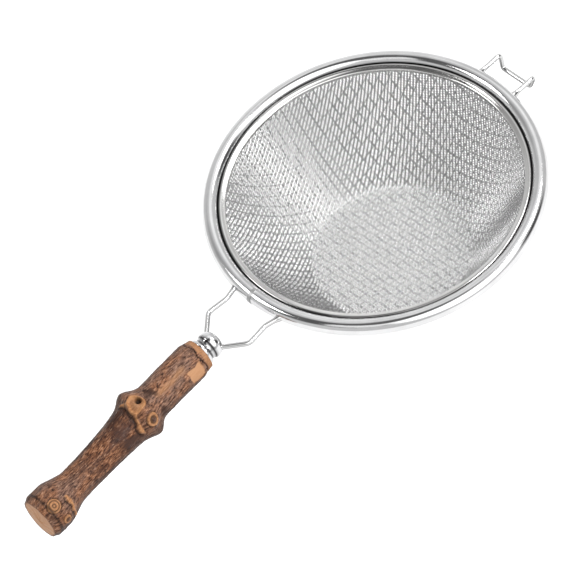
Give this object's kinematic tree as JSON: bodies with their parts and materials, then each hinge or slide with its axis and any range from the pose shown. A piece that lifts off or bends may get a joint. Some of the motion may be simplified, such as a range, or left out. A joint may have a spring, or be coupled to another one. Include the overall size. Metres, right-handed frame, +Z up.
{
  "type": "tea strainer",
  "caption": "Round double-mesh tea strainer with a rolled steel rim, a wire cup rest and a knotty bamboo-root handle on two bent wire legs.",
  "frame": {"origin": "centre of the underside of the flat basket floor", "axes": "+Z up along the basket axis, +X from the basket axis to the wire cup rest, handle towards -X, +Y completes the right-handed frame"},
  "size_m": [0.1633, 0.084, 0.032],
  "materials": {
    "polished_steel": "polished stainless sheet",
    "band_steel": "lightly brushed stainless sheet",
    "core_steel": "plain drawn steel wire",
    "mesh_wire": "woven stainless wire",
    "bright_wire": "bright drawn stainless wire",
    "ferrule_plate": "bright plated turning",
    "bamboo_root": "natural bark with a thin satin lacquer",
    "adhesive": "cured epoxy"
  },
  "bodies": {
    "root": {"rim_shell": "polished_steel", "rim_core_wire": "core_steel", "mesh_clamp_band": "band_steel", "rim_joint_sleeve": "polished_steel", "fine_mesh": "mesh_wire", "coarse_mesh": "mesh_wire", "rest_hook_wire": "bright_wire", "handle_wire_left": "bright_wire", "handle_wire_right": "bright_wire", "ferrule_collar": "ferrule_plate", "ferrule_cap": "ferrule_plate", "root_handle": "bamboo_root", "tang_adhesive": "adhesive"}
  },
  "joints": []
}
